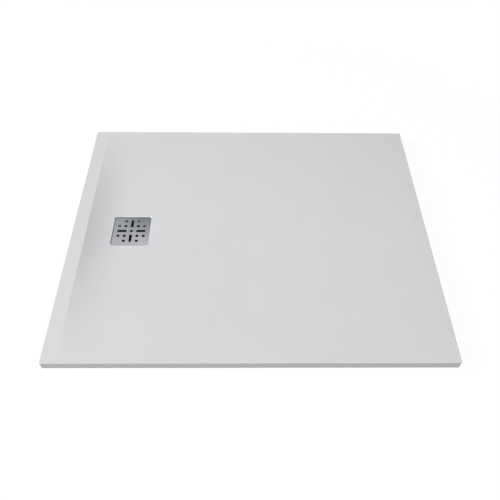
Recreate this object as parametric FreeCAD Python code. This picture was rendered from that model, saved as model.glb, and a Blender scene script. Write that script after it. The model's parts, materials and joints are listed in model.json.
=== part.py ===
import FreeCAD, Part
import math
import os

# A low shower tray with its drain cover and the waste trap that hangs under it.
# Millimetres. The origin is the centre of the tray's underside, +Z is up, +X runs along
# the long side, away from the drain, and +Y runs to the back.

# ---- tray: with these sizes the slab is 30 thick ----------------------------------------
tray_length = 1200.0
tray_width = 1000.0
tray_corner_radius = 4.0
tray_edge_round = 1.5
drain_from_left = 195.0
left_rim_width = 47.0
right_rim_width = 38.0
side_rim_width = 8.0
basin_depth = 14.0
drain_web = 7.0
seal_recess_depth = 1.0
seal_recess_clearance = 2.0
level_before_drain = 25.0
drain_softness = 120.0
valley_softness = 65.0

# ---- drain cover: with these sizes it is 123.6 square, on a hole pitch of 21.5 ------------
cover_overhang = 13.8
cover_thickness = 2.0
cover_corner_radius = 7.0
cover_edge_round = 0.8
cover_gap = 1.2
cover_drop = 0.5
cover_border = 14.05
hole_width = 9.5
hole_corner_radius = 1.4
hole_reach = 2
foot_radius = 5.0
foot_clearance = 7.8
foot_groove_depth = 0.8
foot_groove_height = 1.5

# ---- waste hole, gaskets and clamping flange ------------------------------------------
waste_hole_radius = 45.0
gasket_inset = 0.7
upper_gasket_thickness = 1.0
lower_gasket_thickness = 2.0
flange_overlap = 3.0
flange_thickness = 1.5
flange_under_cover = 3.0
flange_rim_round = 0.5
dish_gap = 1.0
dish_wall = 1.5
dish_depth = 2.0
dish_floor_thickness = 2.5
skirt_gap = 1.5
skirt_wall = 2.5
skirt_reach = 11.0
skirt_ledge_width = 2.2
skirt_ledge_thickness = 2.0

# ---- flange screws and their inserts --------------------------------------------------
screw_count = 4
screw_first_angle = 45.0
screw_radius = 2.0
screw_length = 12.0
screw_head_radius = 4.0
screw_head_height = 2.2
screw_hole_clearance = 0.25
screw_head_clearance = 0.1
screw_head_edge = 0.3
screw_slot_width = 1.0
screw_slot_depth = 1.0
screw_slot_reach = 2.4
screw_end_gap = 1.0
thread_clearance = 0.05
insert_radius = 3.0

# ---- removable dip tube and hair strainer ---------------------------------------------
dip_tube_gap = 1.8
dip_tube_wall = 1.5
dip_head_clearance = 0.5
dip_head_height = 6.0
seal_groove_bottom = 1.8
seal_section_radius = 1.0
seal_groove_clearance = 0.1
seal_wall_clearance = 0.35
strainer_clearance = 0.3
strainer_wall = 1.2
strainer_depth = 24.0
strainer_rim_thickness = 1.5
strainer_rim_inset = 0.7
strainer_slot_count = 12
strainer_slot_width = 3.0
strainer_slot_margin = 5.0
strainer_hole_radius = 1.8
strainer_hole_margin = 6.0
strainer_hole_spacing = 8.5
strainer_outer_hole_count = 12
strainer_inner_hole_count = 6
knob_radius = 5.0
knob_thickness = 2.0
knob_post_radius = 2.2
knob_under_cover = 1.2

# ---- trap body ------------------------------------------------------------------------
body_ring_gap = 1.5
body_ring_wall = 9.5
body_ring_under_dish = 1.0
body_flange_overlap = 11.0
body_flange_thickness = 4.0
body_roof_web = 4.0
bowl_water_way = 16.0
bowl_wall = 3.0
water_seal = 30.0
dip_tube_floor_gap = 8.0
base_wall = 3.0
base_round = 2.0
base_under_socket = 4.0
base_floor_thickness = 3.0

# ---- ball outlet ----------------------------------------------------------------------
outlet_swivel = 8.0
pipe_stop_width = 4.0
port_wall = 5.0
ball_wall = 10.0
ball_clearance = 0.3
ball_back_room = 1.5
socket_bore_clearance = 0.5
socket_wall = 3.5
socket_past_ball = 2.0
ball_seal_length = 10.0
ball_seal_step = 2.0
friction_ring_start = 6.0
friction_ring_end = 14.0
friction_ring_clearance = 0.3
ball_nut_wall = 3.5
ball_nut_thread = 12.0
ball_nut_lip = 3.0
ball_nut_lip_clearance = 0.7
ball_nut_rib_count = 12
ball_nut_rib_height = 1.0
ball_nut_rib_width = 4.0
ball_nut_under_flange = 1.45
neck_wall = 2.5
neck_length = 15.0
neck_taper = 6.0

# ---- pipe joint at the end of the outlet ----------------------------------------------
pipe_radius = 20.0
pipe_clearance = 0.3
pipe_socket_depth = 25.0
pipe_socket_wall = 5.7
washer_length = 6.0
washer_bore_clearance = 0.4
washer_end_wall = 2.2
washer_gap = 0.3
outlet_nut_start = 10.0
outlet_nut_wall = 4.0
outlet_nut_lip = 4.0
outlet_nut_lip_clearance = 0.6
outlet_nut_rib_count = 10
outlet_nut_rib_height = 1.0
outlet_nut_rib_width = 5.0

# ---- heights in the drain, from the underside up ----------------------------------------
recess_floor = seal_recess_depth + drain_web
flange_bottom = recess_floor + upper_gasket_thickness
flange_top = flange_bottom + flange_thickness
dish_top = flange_top - dish_depth
dish_bottom = dish_top - dish_floor_thickness
cover_bottom = flange_top + flange_under_cover
cover_top = cover_bottom + cover_thickness
drain_floor = cover_top + cover_drop
tray_thickness = drain_floor + basin_depth

# ---- radii in the drain, from the waste hole inward and outward -------------------------
body_ring_radius = waste_hole_radius - body_ring_gap
body_ring_bore = body_ring_radius - body_ring_wall
skirt_outer_radius = body_ring_bore - skirt_gap
skirt_radius = skirt_outer_radius - skirt_wall
ledge_radius = skirt_radius - skirt_ledge_width
dip_tube_radius = ledge_radius - dip_tube_gap
dip_tube_bore = dip_tube_radius - dip_tube_wall
dip_head_radius = skirt_radius - dip_head_clearance
seal_centre_radius = skirt_radius - seal_wall_clearance - seal_section_radius
bowl_radius = dip_tube_radius + bowl_water_way
bowl_outer_radius = bowl_radius + bowl_wall
flange_radius = waste_hole_radius + flange_overlap
body_flange_radius = waste_hole_radius + body_flange_overlap
dish_outer_radius = waste_hole_radius - dish_gap
dish_radius = dish_outer_radius - dish_wall
screw_circle_radius = dish_radius - screw_head_edge - screw_head_clearance - screw_head_radius
foot_offset = (flange_radius + foot_radius + foot_clearance) / math.sqrt(2)
cover_size = 2 * (flange_radius + cover_overhang)
recess_size = cover_size + 2 * cover_gap
hole_pitch = (cover_size - 2 * cover_border - hole_width) / (2 * hole_reach)

# ---- places along the tray --------------------------------------------------------------
drain_x = drain_from_left - tray_length / 2
basin_left = left_rim_width - tray_length / 2
basin_right = tray_length / 2 - right_rim_width
basin_half_width = tray_width / 2 - side_rim_width
basin_level_x = drain_x - level_before_drain

# ---- heights and radii of the outlet ----------------------------------------------------
pipe_bore = pipe_radius + pipe_clearance
pipe_socket_radius = pipe_bore + pipe_socket_wall
outlet_bore = pipe_radius - pipe_stop_width
ball_radius = outlet_bore + ball_wall
seat_radius = ball_radius + ball_clearance
neck_radius = outlet_bore + neck_wall
socket_bore = ball_radius + socket_bore_clearance
socket_radius = socket_bore + socket_wall
ball_nut_bore = socket_radius + thread_clearance
ball_nut_radius = ball_nut_bore + ball_nut_wall
body_flange_top = seal_recess_depth - lower_gasket_thickness
body_flange_bottom = body_flange_top - body_flange_thickness
outlet_height = body_flange_bottom - ball_nut_under_flange - ball_nut_rib_height - ball_nut_radius

# ---- heights in the trap, from the flange down ------------------------------------------
body_ring_top = dish_bottom - body_ring_under_dish
skirt_bottom = flange_bottom - skirt_reach
ledge_top = skirt_bottom + skirt_ledge_thickness
dip_head_top = ledge_top + dip_head_height
screw_end = dish_top - screw_length
insert_hole_bottom = screw_end - screw_end_gap
bowl_roof = insert_hole_bottom - body_roof_web
dip_tube_bottom = outlet_height - outlet_bore - water_seal
bowl_floor = dip_tube_bottom - dip_tube_floor_gap
base_top = outlet_height - socket_radius - base_under_socket

# ---- runs along the outlet, counted outward from the drain's axis -----------------------
port_end = bowl_outer_radius + port_wall
ball_edge_angle = math.asin(outlet_bore / ball_radius) - math.radians(outlet_swivel)
ball_centre = port_end + ball_back_room + ball_radius * math.cos(ball_edge_angle)
socket_end = ball_centre + socket_past_ball
ball_nut_lip_start = ball_centre + friction_ring_end
ball_nut_end = ball_nut_lip_start + ball_nut_lip
neck_end = ball_nut_end + neck_length
pipe_stop = neck_end + neck_taper
pipe_mouth = pipe_stop + pipe_socket_depth

UP = FreeCAD.Vector(0, 0, 1)
OUTWARD = FreeCAD.Vector(-1, 0, 0)
DRAIN = FreeCAD.Vector(drain_x, 0, 0)
OUTLET = FreeCAD.Vector(drain_x, 0, outlet_height)
FULL_TURN = 360.0
CUT_MARGIN = 5.0
SAME_PLACE = 1e-6


# ---- helpers --------------------------------------------------------------------------
def cylinder(radius, bottom, top, x=0.0, y=0.0):
    """An upright cylinder beside the drain's axis."""
    return Part.makeCylinder(radius, top - bottom, DRAIN + FreeCAD.Vector(x, y, bottom), UP)


def ring(outer, inner, bottom, top):
    """A flat ring round the drain's axis."""
    return cylinder(outer, bottom, top).cut(cylinder(inner, bottom, top))


def box(length, width, bottom, top, x=0.0, y=0.0):
    """An upright box centred beside the drain's axis."""
    corner = DRAIN + FreeCAD.Vector(x - length / 2, y - width / 2, bottom)
    return Part.makeBox(length, width, top - bottom, corner)


def round_edges(solid, radius, chosen):
    """Rounds the edges that the test picks."""
    return solid.makeFillet(radius, [edge for edge in solid.Edges if chosen(edge)])


def is_upright(edge):
    extent = edge.BoundBox
    return extent.XLength < SAME_PLACE and extent.YLength < SAME_PLACE


def at_height(height):
    """A test for edges that lie flat at one height."""

    def is_there(edge):
        extent = edge.BoundBox
        return abs(extent.ZMin - height) < SAME_PLACE and extent.ZLength < SAME_PLACE

    return is_there


def rounded_box(length, width, radius, bottom, top, x=0.0, y=0.0):
    """An upright box with rounded upright corners."""
    return round_edges(box(length, width, bottom, top, x, y), radius, is_upright)


def turned(profile, axis_point, axis, place):
    """Turns a closed outline once round an axis. The outline is a list of (run, radius) points;
    a point that carries a third value is the middle of an arc to the point after it."""
    edges = []
    count = len(profile)
    start = 0
    while start < count:
        here = place(*profile[start][:2])
        following = profile[(start + 1) % count]
        if len(following) == 3:
            beyond = profile[(start + 2) % count]
            edges.append(Part.Arc(here, place(*following[:2]), place(*beyond[:2])).toShape())
            start += 2
        else:
            edges.append(Part.LineSegment(here, place(*following)).toShape())
            start += 1
    face = Part.Face(Part.Wire(edges))
    return face.revolve(axis_point, axis, FULL_TURN)


def turned_at_drain(profile):
    """A solid of revolution on the drain's upright axis, from (height, radius) points."""
    return turned(profile, DRAIN, UP, lambda height, radius: DRAIN + FreeCAD.Vector(radius, 0, height))


def turned_at_outlet(profile):
    """A solid of revolution on the outlet's level axis. The run is counted from the drain's
    axis, outward to the left edge of the tray."""
    return turned(
        profile, OUTLET, OUTWARD, lambda run, radius: OUTLET + OUTWARD * run + UP * radius
    )


def sphere_radius_at(radius, distance):
    """The radius of a ball's section at a distance from its centre."""
    return math.sqrt(radius**2 - distance**2)


def seat_point(distance):
    """A point of the ball's seat, at a distance along the axis from the ball's centre."""
    return (ball_centre + distance, sphere_radius_at(seat_radius, distance))


def seat_arc(first, last):
    """The middle point of the seat's arc between two distances from the ball's centre."""
    return seat_point((first + last) / 2) + ("arc",)


def around(shape, count, first_angle=0.0):
    """Copies of a shape, evenly turned round the drain's axis."""
    copies = []
    for index in range(count):
        copy = shape.copy()
        copy.rotate(DRAIN, UP, first_angle + index * FULL_TURN / count)
        copies.append(copy)
    return copies


def ribs_round_outlet(radius, height, width, start, end, count):
    """Grip ribs along a nut on the outlet's axis, sunk a little into its wall."""
    sunk = height / 2
    corner = OUTLET + OUTWARD * end + FreeCAD.Vector(0, -width / 2, radius - sunk)
    rib = Part.makeBox(end - start, width, height + sunk, corner)
    ribs = []
    for index in range(count):
        copy = rib.copy()
        copy.rotate(OUTLET, OUTWARD, index * FULL_TURN / count)
        ribs.append(copy)
    return ribs


# ---- tray -----------------------------------------------------------------------------
def eased(share, softness):
    """Rises from 0 to 1 with the share, nearly straight, with a soft start."""
    return (math.hypot(share, softness) - softness) / (math.hypot(1, softness) - softness)


def fall_along(x):
    """How far the floor has fallen at x, from 0 on a rim to 1 at the drain."""
    if x < basin_level_x:
        return 1 - ((basin_level_x - x) / (basin_level_x - basin_left)) ** 2
    run = basin_right - basin_level_x
    return 1 - eased((x - basin_level_x) / run, drain_softness / run)


def fall_across(y):
    """The same from the front and back rims to the line through the drain."""
    return 1 - eased(abs(y) / basin_half_width, valley_softness / basin_half_width)


def fall_curve(stations, rule):
    """A smooth plane curve of the fall over a list of stations."""
    curve = Part.BSplineCurve()
    curve.interpolate([FreeCAD.Vector(station, rule(station), 0) for station in stations])
    return curve


def basin_face():
    """The floor of the tray as one smooth face: its depth is the product of the fall along
    and the fall across, so it meets the rim along four straight lines."""
    left_step_count = 10
    right_step_count = 16
    across_step_count = 10
    step_growth_ratio = 1.5
    left_run = basin_level_x - basin_left
    right_run = basin_right - basin_level_x
    xs = [basin_left + left_run * step / left_step_count for step in range(left_step_count)]
    for step in range(right_step_count + 1):
        xs.append(basin_level_x + right_run * (step / right_step_count) ** step_growth_ratio)
    half = []
    for step in range(across_step_count + 1):
        half.append(basin_half_width * (step / across_step_count) ** step_growth_ratio)
    ys = [-y for y in reversed(half[1:])] + half
    along = fall_curve(xs, fall_along)
    across = fall_curve(ys, fall_across)
    poles = []
    for pole in along.getPoles():
        row = []
        for other in across.getPoles():
            row.append(FreeCAD.Vector(pole.x, other.x, tray_thickness - basin_depth * pole.y * other.y))
        poles.append(row)
    surface = Part.BSplineSurface()
    surface.buildFromPolesMultsKnots(
        poles,
        along.getMultiplicities(),
        across.getMultiplicities(),
        along.getKnots(),
        across.getKnots(),
        False,
        False,
        along.Degree,
        across.Degree,
    )
    return surface.toShape()


def facing_up(face):
    """The same face with its outer side upward."""
    first_u, last_u, first_v, last_v = face.ParameterRange
    normal = face.normalAt((first_u + last_u) / 2, (first_v + last_v) / 2)
    return face if normal.z > 0 else face.reversed()


def make_tray():
    """The slab with its falling floor, the recess of the cover, the waste hole and, underneath,
    a shallow flat round the hole for the lower gasket."""
    slab = Part.makeBox(
        tray_length,
        tray_width,
        tray_thickness,
        FreeCAD.Vector(-tray_length / 2, -tray_width / 2, 0),
    )
    slab = round_edges(slab, tray_corner_radius, is_upright)
    slab = round_edges(slab, tray_edge_round, at_height(tray_thickness))
    floor = facing_up(basin_face())
    faces = [floor]
    for face in slab.Faces:
        is_top = abs(face.CenterOfMass.z - tray_thickness) < SAME_PLACE
        if is_top:
            wires = Part.makeCompound([face.OuterWire, floor.OuterWire])
            face = facing_up(Part.makeFace(wires, "Part::FaceMakerBullseye"))
        faces.append(face)
    shell = Part.Shell(faces)
    shell.sewShape()
    tray = Part.Solid(shell)
    recess_corner = cover_corner_radius + cover_gap
    above = tray_thickness + CUT_MARGIN
    recess = rounded_box(recess_size, recess_size, recess_corner, recess_floor, above)
    hole = cylinder(waste_hole_radius, -CUT_MARGIN, above)
    seal_radius = body_flange_radius + seal_recess_clearance
    seal_recess = cylinder(seal_radius, -CUT_MARGIN, seal_recess_depth)
    return tray.cut(recess).cut(hole).cut(seal_recess)


# ---- drain cover ----------------------------------------------------------------------
def cover_hole(column, row, columns=1, rows=1):
    """A square hole, or a slot that runs over several places of the cover's grid."""
    length = hole_width + (columns - 1) * hole_pitch
    width = hole_width + (rows - 1) * hole_pitch
    x = (column + (columns - 1) / 2) * hole_pitch
    y = (row + (rows - 1) / 2) * hole_pitch
    bottom = cover_bottom - CUT_MARGIN
    top = cover_top + CUT_MARGIN
    return rounded_box(length, width, hole_corner_radius, bottom, top, x, y)


def make_drain_cover():
    """A square grid of holes without its corners. Its middle row and middle column join their
    places into slots, on each side of the centre hole."""
    plate = rounded_box(cover_size, cover_size, cover_corner_radius, cover_bottom, cover_top)
    plate = round_edges(plate, cover_edge_round, at_height(cover_top))
    holes = [cover_hole(0, 0)]
    for side in (-1, 1):
        slot_start = min(side, hole_reach * side)
        holes.append(cover_hole(slot_start, 0, columns=hole_reach))
        holes.append(cover_hole(0, slot_start, rows=hole_reach))
    places = [place for place in range(-hole_reach, hole_reach + 1) if place != 0]
    for column in places:
        for row in places:
            is_corner = abs(column) + abs(row) == 2 * hole_reach
            if not is_corner:
                holes.append(cover_hole(column, row))
    return plate.cut(Part.makeCompound(holes))


def make_cover_feet():
    """A grooved rubber foot towards each corner of the cover, well clear of the flange and
    down to the recess floor."""
    waist = foot_radius - foot_groove_depth
    middle = (recess_floor + cover_bottom) / 2
    low = middle - foot_groove_height / 2
    high = middle + foot_groove_height / 2
    feet = []
    for side in (-1, 1):
        for end in (-1, 1):
            x = foot_offset * side
            y = foot_offset * end
            foot = cylinder(foot_radius, recess_floor, cover_bottom, x, y)
            collar = cylinder(foot_radius, low, high, x, y).cut(cylinder(waist, low, high, x, y))
            feet.append(foot.cut(collar))
    return Part.makeCompound(feet)


# ---- gaskets, flange and screws -------------------------------------------------------
def make_upper_gasket():
    inner = waste_hole_radius + gasket_inset
    return ring(flange_radius - gasket_inset, inner, recess_floor, flange_bottom)


def make_lower_gasket():
    inner = waste_hole_radius + gasket_inset
    return ring(body_flange_radius - gasket_inset, inner, body_flange_top, seal_recess_depth)


def screw_head_cone(clearance):
    """The countersunk head, or its seat when it is given a clearance."""
    bottom = DRAIN + FreeCAD.Vector(screw_circle_radius, 0, dish_top - screw_head_height)
    return Part.makeCone(
        screw_radius + clearance, screw_head_radius + clearance, screw_head_height, bottom, UP
    )


def make_waste_flange():
    """The clamping ring, dished inside the waste hole for its screws, with a skirt that ends
    in a ledge."""
    outline = [
        (skirt_bottom, ledge_radius),
        (skirt_bottom, skirt_outer_radius),
        (dish_bottom, skirt_outer_radius),
        (dish_bottom, dish_outer_radius),
        (flange_bottom, dish_outer_radius),
        (flange_bottom, flange_radius),
        (flange_top, flange_radius),
        (flange_top, dish_radius),
        (dish_top, dish_radius),
        (dish_top, skirt_radius),
        (ledge_top, skirt_radius),
        (ledge_top, ledge_radius),
    ]
    flange = round_edges(turned_at_drain(outline), flange_rim_round, at_height(flange_top))
    hole_radius = screw_radius + screw_hole_clearance
    hole = cylinder(hole_radius, dish_bottom, dish_top, screw_circle_radius)
    seat = hole.fuse(screw_head_cone(screw_head_clearance))
    return flange.cut(Part.makeCompound(around(seat, screw_count, screw_first_angle)))


def make_flange_screws():
    """Countersunk screws with a cross slot in the head."""
    shank = cylinder(screw_radius, screw_end, dish_top, screw_circle_radius)
    screw = shank.fuse(screw_head_cone(0.0))
    slot_bottom = dish_top - screw_slot_depth
    reach = 2 * screw_slot_reach
    for length, width in ((reach, screw_slot_width), (screw_slot_width, reach)):
        screw = screw.cut(box(length, width, slot_bottom, dish_top, screw_circle_radius))
    return Part.makeCompound(around(screw, screw_count, screw_first_angle))


def make_screw_inserts():
    """Brass sleeves in the trap body's ring, as deep as the screws reach."""
    sleeve = cylinder(insert_radius, screw_end, body_ring_top, screw_circle_radius)
    bore_radius = screw_radius + thread_clearance
    bore = cylinder(bore_radius, screw_end, body_ring_top, screw_circle_radius)
    return Part.makeCompound(around(sleeve.cut(bore), screw_count, screw_first_angle))


# ---- dip tube, its seal and the hair strainer -----------------------------------------
def make_dip_tube():
    """A tube that hangs by its head on the flange's ledge, with a groove for its seal."""
    groove_radius = seal_centre_radius - seal_section_radius - seal_groove_clearance
    groove_low = ledge_top + seal_groove_bottom
    groove_high = groove_low + 2 * (seal_section_radius + seal_groove_clearance)
    outline = [
        (dip_tube_bottom, dip_tube_bore),
        (dip_tube_bottom, dip_tube_radius),
        (ledge_top, dip_tube_radius),
        (ledge_top, dip_head_radius),
        (groove_low, dip_head_radius),
        (groove_low, groove_radius),
        (groove_high, groove_radius),
        (groove_high, dip_head_radius),
        (dip_head_top, dip_head_radius),
        (dip_head_top, dip_tube_bore),
    ]
    return turned_at_drain(outline)


def make_dip_tube_seal():
    height = ledge_top + seal_groove_bottom + seal_groove_clearance + seal_section_radius
    centre = DRAIN + FreeCAD.Vector(0, 0, height)
    return Part.makeTorus(seal_centre_radius, seal_section_radius, centre, UP)


def make_hair_strainer():
    """A slotted basket with a flat rim, and a knob on a post to lift it by."""
    outer = dip_tube_bore - strainer_clearance
    inner = outer - strainer_wall
    rim_top = dip_head_top + strainer_rim_thickness
    rim_radius = dip_head_radius - strainer_rim_inset
    basket_bottom = rim_top - strainer_depth
    floor_top = basket_bottom + strainer_wall
    outline = [
        (basket_bottom, 0.0),
        (basket_bottom, outer),
        (dip_head_top, outer),
        (dip_head_top, rim_radius),
        (rim_top, rim_radius),
        (rim_top, inner),
        (floor_top, inner),
        (floor_top, 0.0),
    ]
    slot_bottom = floor_top + strainer_slot_margin
    slot_top = dip_head_top - strainer_slot_margin
    slot_length = 2 * (strainer_wall + strainer_slot_width)
    slot = box(slot_length, strainer_slot_width, slot_bottom, slot_top, outer)
    cuts = around(slot, strainer_slot_count)
    outer_circle = inner - strainer_hole_margin
    inner_circle = outer_circle - strainer_hole_spacing
    hole_rings = (
        (outer_circle, strainer_outer_hole_count),
        (inner_circle, strainer_inner_hole_count),
    )
    for circle, count in hole_rings:
        cuts += around(cylinder(strainer_hole_radius, basket_bottom, floor_top, circle), count)
    basket = turned_at_drain(outline).cut(Part.makeCompound(cuts))
    knob_top = cover_bottom - knob_under_cover
    post = cylinder(knob_post_radius, basket_bottom, knob_top)
    knob = cylinder(knob_radius, knob_top - knob_thickness, knob_top)
    return basket.fuse(post).fuse(knob).removeSplitter()


# ---- trap body ------------------------------------------------------------------------
def level_cylinder(radius, start, end):
    """A cylinder on the outlet's axis between two runs."""
    return Part.makeCylinder(radius, end - start, OUTLET + OUTWARD * start, OUTWARD)


def make_trap_body():
    """The bowl, with a ring that rises into the waste hole, a clamping flange, a roof and the
    socket of the outlet's ball."""
    outline = [
        (bowl_floor, 0.0),
        (bowl_floor, bowl_outer_radius),
        (body_flange_bottom, bowl_outer_radius),
        (body_flange_bottom, body_flange_radius),
        (body_flange_top, body_flange_radius),
        (body_flange_top, body_ring_radius),
        (body_ring_top, body_ring_radius),
        (body_ring_top, 0.0),
    ]
    body = turned_at_drain(outline).fuse(level_cylinder(socket_radius, 0.0, socket_end))
    insert_hole = cylinder(insert_radius, insert_hole_bottom, body_ring_top, screw_circle_radius)
    hollows = around(insert_hole, screw_count, screw_first_angle)
    hollows.append(cylinder(bowl_radius, bowl_floor, bowl_roof))
    hollows.append(cylinder(body_ring_bore, bowl_roof, body_ring_top))
    hollows.append(level_cylinder(outlet_bore, 0.0, port_end))
    hollows.append(level_cylinder(socket_bore, port_end, socket_end))
    for hollow in hollows:
        body = body.cut(hollow)
    return body


def make_trap_base():
    """A cap round the lower end of the bowl."""
    bottom = bowl_floor - base_floor_thickness
    cap = cylinder(bowl_outer_radius + base_wall, bottom, base_top)
    cap = round_edges(cap, base_round, at_height(bottom))
    return cap.cut(cylinder(bowl_outer_radius, bowl_floor, base_top))


# ---- ball outlet ----------------------------------------------------------------------
def make_ball_seal():
    """A rubber ring behind the ball, hollowed to its curve."""
    bore = outlet_bore + ball_seal_step
    end = port_end + ball_seal_length
    seat_start = -sphere_radius_at(seat_radius, bore)
    seat_end = end - ball_centre
    outline = [
        (port_end, bore),
        (port_end, socket_bore),
        (end, socket_bore),
        seat_point(seat_end),
        seat_arc(seat_start, seat_end),
        seat_point(seat_start),
    ]
    return turned_at_outlet(outline)


def make_ball_friction_ring():
    """A hard ring between the ball and the nut's lip, hollowed to the ball's curve."""
    outer = socket_radius - friction_ring_clearance
    outline = [
        (ball_centre + friction_ring_start, outer),
        (ball_centre + friction_ring_end, outer),
        seat_point(friction_ring_end),
        seat_arc(friction_ring_start, friction_ring_end),
        seat_point(friction_ring_start),
    ]
    return turned_at_outlet(outline)


def make_ball_nut():
    """A ribbed nut on the socket's thread, whose lip holds the friction ring."""
    start = socket_end - ball_nut_thread
    lip_radius = sphere_radius_at(seat_radius, friction_ring_end) + ball_nut_lip_clearance
    outline = [
        (start, ball_nut_bore),
        (start, ball_nut_radius),
        (ball_nut_end, ball_nut_radius),
        (ball_nut_end, lip_radius),
        (ball_nut_lip_start, lip_radius),
        (ball_nut_lip_start, ball_nut_bore),
    ]
    rib_size = (ball_nut_rib_height, ball_nut_rib_width)
    ribs = ribs_round_outlet(ball_nut_radius, *rib_size, start, ball_nut_end, ball_nut_rib_count)
    return turned_at_outlet(outline).fuse(ribs).removeSplitter()


def make_outlet_tail():
    """The hollow ball, its neck and the socket for a pipe."""
    ball_start = -sphere_radius_at(ball_radius, outlet_bore)
    ball_end = sphere_radius_at(ball_radius, neck_radius)
    outline = [
        (ball_centre + ball_start, outlet_bore),
        (ball_centre, ball_radius, "arc"),
        (ball_centre + ball_end, neck_radius),
        (neck_end, neck_radius),
        (pipe_stop, pipe_socket_radius),
        (pipe_mouth, pipe_socket_radius),
        (pipe_mouth, pipe_bore),
        (pipe_stop, pipe_bore),
        (pipe_stop, outlet_bore),
    ]
    return turned_at_outlet(outline)


# ---- pipe joint -------------------------------------------------------------------------
def make_outlet_washer():
    """A cone-shaped rubber washer at the mouth of the pipe socket."""
    bore = pipe_bore + washer_bore_clearance
    outline = [
        (pipe_mouth, bore),
        (pipe_mouth, pipe_socket_radius),
        (pipe_mouth + washer_length, pipe_bore + washer_end_wall),
        (pipe_mouth + washer_length, bore),
    ]
    return turned_at_outlet(outline)


def make_outlet_nut():
    """A ribbed nut on the pipe socket's thread, with its lip over the washer."""
    bore = pipe_socket_radius + thread_clearance
    outer = bore + outlet_nut_wall
    start = pipe_stop + outlet_nut_start
    lip_start = pipe_mouth + washer_length + washer_gap
    lip_radius = pipe_bore + outlet_nut_lip_clearance
    end = lip_start + outlet_nut_lip
    outline = [
        (start, bore),
        (start, outer),
        (end, outer),
        (end, lip_radius),
        (lip_start, lip_radius),
        (lip_start, bore),
    ]
    rib_size = (outlet_nut_rib_height, outlet_nut_rib_width)
    ribs = ribs_round_outlet(outer, *rib_size, start, end, outlet_nut_rib_count)
    return turned_at_outlet(outline).fuse(ribs).removeSplitter()


# ---- the assembly ---------------------------------------------------------------------
PIECES = {
    "tray": make_tray,
    "drain_cover": make_drain_cover,
    "cover_feet": make_cover_feet,
    "upper_gasket": make_upper_gasket,
    "lower_gasket": make_lower_gasket,
    "waste_flange": make_waste_flange,
    "flange_screws": make_flange_screws,
    "screw_inserts": make_screw_inserts,
    "dip_tube": make_dip_tube,
    "dip_tube_seal": make_dip_tube_seal,
    "hair_strainer": make_hair_strainer,
    "trap_body": make_trap_body,
    "trap_base": make_trap_base,
    "ball_seal": make_ball_seal,
    "ball_friction_ring": make_ball_friction_ring,
    "ball_nut": make_ball_nut,
    "outlet_tail": make_outlet_tail,
    "outlet_washer": make_outlet_washer,
    "outlet_nut": make_outlet_nut,
}

os.makedirs("parts", exist_ok=True)
for name, make in PIECES.items():
    piece = make()
    piece.exportStep(os.path.join("parts", name + ".step"))
    extent = piece.BoundBox
    print(
        f"{name}: {len(piece.Solids)} solid(s), valid {piece.isValid()}, "
        f"{piece.Volume / 1000:.2f} cm3, z {extent.ZMin:.2f} to {extent.ZMax:.2f}"
    )
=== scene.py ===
# %% [markdown]
# # A low shower tray and the waste under it
# The tray is one slab of cast mineral resin, 30 mm thick, whose floor falls to a drain near its left end. A
# square stainless cover lies over the drain, and a strainer, a dip tube and a trap hang under it. The measured
# model holds every size and every joint. This file dresses it: it rebuilds the pieces whose surface is seen
# closely, gives each piece its finish, and sets up the light and the camera.

# %% Load the measured model
import json
import math

import bmesh
import bpy
from mathutils import Matrix, Vector

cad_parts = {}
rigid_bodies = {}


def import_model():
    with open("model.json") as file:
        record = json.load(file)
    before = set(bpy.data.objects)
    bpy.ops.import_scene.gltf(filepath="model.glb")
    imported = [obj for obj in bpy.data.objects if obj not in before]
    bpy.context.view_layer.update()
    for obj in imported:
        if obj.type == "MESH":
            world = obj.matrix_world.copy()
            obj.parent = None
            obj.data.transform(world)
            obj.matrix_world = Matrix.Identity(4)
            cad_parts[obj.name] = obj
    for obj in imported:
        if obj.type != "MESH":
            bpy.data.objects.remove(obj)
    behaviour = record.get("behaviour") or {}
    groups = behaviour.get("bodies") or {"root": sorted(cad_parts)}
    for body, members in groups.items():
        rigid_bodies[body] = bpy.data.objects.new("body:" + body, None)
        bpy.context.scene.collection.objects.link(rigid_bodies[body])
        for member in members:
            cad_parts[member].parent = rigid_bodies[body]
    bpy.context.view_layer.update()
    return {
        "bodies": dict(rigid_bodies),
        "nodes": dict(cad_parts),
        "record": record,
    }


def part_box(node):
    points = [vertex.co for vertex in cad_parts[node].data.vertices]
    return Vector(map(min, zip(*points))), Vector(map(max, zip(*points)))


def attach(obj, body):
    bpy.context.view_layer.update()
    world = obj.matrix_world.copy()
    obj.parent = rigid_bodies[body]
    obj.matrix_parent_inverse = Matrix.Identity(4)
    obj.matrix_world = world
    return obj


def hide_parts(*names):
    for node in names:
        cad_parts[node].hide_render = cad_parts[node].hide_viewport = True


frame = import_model()
MM = 0.001
print("bodies:", ", ".join(sorted(frame["bodies"])))

# %% [markdown]
# ## Maths on wires
# Both materials and Geometry Nodes are graphs of nodes. Written node by node, a simple sum fills a page. So one
# small class stands for the output of a node and overloads the operators: `1 - mask * 0.5` adds two Math nodes.
# The few functions below it work on a wire and on a plain number alike, so a rule of shape is written once and
# serves both the node graph and the Python code that has to meet the same surface.

# %% Wires


class Wire:
    """The output of a node, which can be used in sums."""

    def __init__(self, graph, socket):
        self.graph = graph
        self.socket = socket

    def maths(self, operation, *others):
        return self.graph.maths(operation, self, *others)

    def __add__(self, other):
        return self.maths("ADD", other)

    def __sub__(self, other):
        return self.maths("SUBTRACT", other)

    def __rsub__(self, other):
        return self.graph.maths("SUBTRACT", other, self)

    def __mul__(self, other):
        return self.maths("MULTIPLY", other)

    def __truediv__(self, other):
        return self.maths("DIVIDE", other)

    def __rtruediv__(self, other):
        return self.graph.maths("DIVIDE", other, self)

    def __abs__(self):
        return self.maths("ABSOLUTE")

    __radd__ = __add__
    __rmul__ = __mul__


# %% Graphs


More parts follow.
